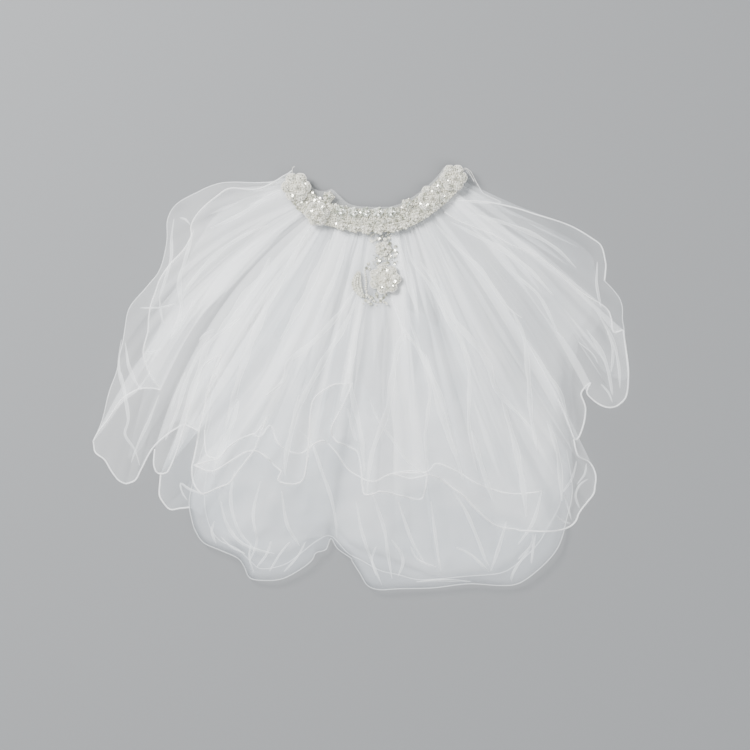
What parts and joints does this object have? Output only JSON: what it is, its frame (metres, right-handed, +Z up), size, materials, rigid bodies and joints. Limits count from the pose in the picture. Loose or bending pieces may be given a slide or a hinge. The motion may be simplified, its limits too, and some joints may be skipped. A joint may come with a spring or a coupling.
{
  "type": "bridal veil",
  "caption": "Shoulder-length two-tier bridal veil of gathered tulle with corded hems, laid flat, its tiers fanned from a curved headband of beaded lace flowers.",
  "frame": {"origin": "middle of the veil's footprint, on the surface it lies on", "axes": "+Z up from the surface, +Y towards the headband, +X to the right of the headband as seen from above"},
  "size_m": [0.6434, 0.5078, 0.0511],
  "materials": {
    "white_tulle": "soft sheer nylon tulle, matt with a faint sheen",
    "blue_white_tulle": "soft sheer nylon tulle in many folded layers",
    "ivory_lace": "ivory corded lace under pearls, sequins and clear beads"
  },
  "bodies": {
    "root": {"bud_left": "ivory_lace", "bud_right": "ivory_lace", "drop_bud": "ivory_lace", "drop_leaf": "ivory_lace", "drop_rosette": "ivory_lace", "flower_1": "ivory_lace", "flower_2": "ivory_lace", "flower_3": "ivory_lace", "flower_4": "ivory_lace", "flower_5": "ivory_lace", "flower_6": "ivory_lace", "flower_7": "ivory_lace", "folded_layers": "blue_white_tulle", "headband": "ivory_lace", "lower_tier": "blue_white_tulle", "net_base": "white_tulle", "rosette_left": "ivory_lace", "rosette_left_end": "ivory_lace", "rosette_right": "ivory_lace", "rosette_right_end": "ivory_lace", "shell_1": "ivory_lace", "shell_2": "ivory_lace", "shell_3": "ivory_lace", "shell_4": "ivory_lace", "shell_5": "ivory_lace", "top_tier": "white_tulle"}
  },
  "joints": []
}
